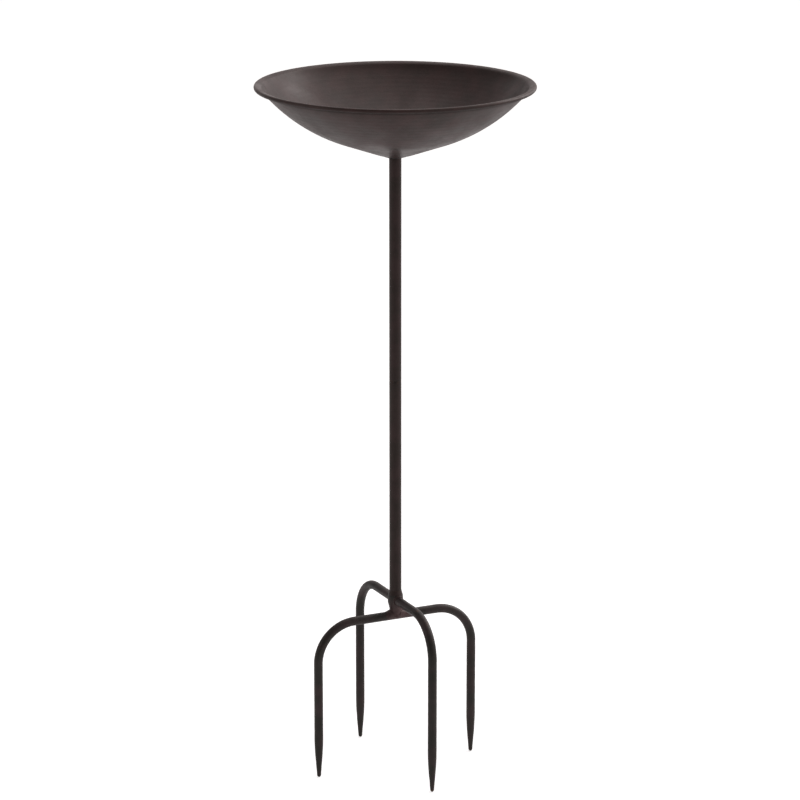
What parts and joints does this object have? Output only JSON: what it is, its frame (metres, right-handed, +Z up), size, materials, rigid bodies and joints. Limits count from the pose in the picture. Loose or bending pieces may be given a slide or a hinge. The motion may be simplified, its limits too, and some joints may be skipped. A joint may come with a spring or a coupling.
{
  "type": "bird bath dish on a pole stake",
  "caption": "Round dished bowl with a rolled rim, screwed onto a slim two-section pole whose welded prong stake pushes into the ground.",
  "frame": {"origin": "on the pole's axis, level with the tips of the prongs", "axes": "+Z up along the pole, +X along the lower prong bar, +Y along the upper prong bar"},
  "size_m": [0.305, 0.305, 0.78],
  "materials": {
    "bowl_bronze": "satin",
    "pole_bronze": "satin",
    "stake_bronze": "satin",
    "weld_bronze": "satin",
    "zinc_steel": "zinc plated",
    "washer_rubber": "matte"
  },
  "bodies": {
    "stake": {"lower_pole": "pole_bronze", "stake_collar": "stake_bronze", "collar_weld": "weld_bronze", "upper_prong_bar": "stake_bronze", "lower_prong_bar": "stake_bronze", "upper_bar_weld": "weld_bronze", "lower_bar_weld": "weld_bronze"},
    "upper_pole": {"upper_pole": "pole_bronze", "top_insert": "zinc_steel", "pole_ferrule": "zinc_steel"},
    "washer": {"bowl_washer": "washer_rubber"},
    "bowl": {"bowl": "bowl_bronze", "bowl_flange": "bowl_bronze", "flange_weld": "bowl_bronze", "bowl_stud": "zinc_steel"}
  },
  "joints": [
    {"name": "pole_pull", "type": "slide", "parent": "stake", "child": "upper_pole", "axis": [0, 0, 1], "range_m": [0, 0.032]},
    {"name": "bowl_lift", "type": "slide", "parent": "upper_pole", "child": "washer", "axis": [0, 0, 1], "range_m": [0, 0.0152]},
    {"name": "bowl_turn", "type": "hinge", "parent": "washer", "child": "bowl", "pos_m": [0, 0, 0.7], "axis": [0, 0, 1], "range_deg": [0, 4320]}
  ],
  "couplings": [
    {"joint": "bowl_lift", "follows": "bowl_turn", "m_per_rad": 0.00019894}
  ]
}
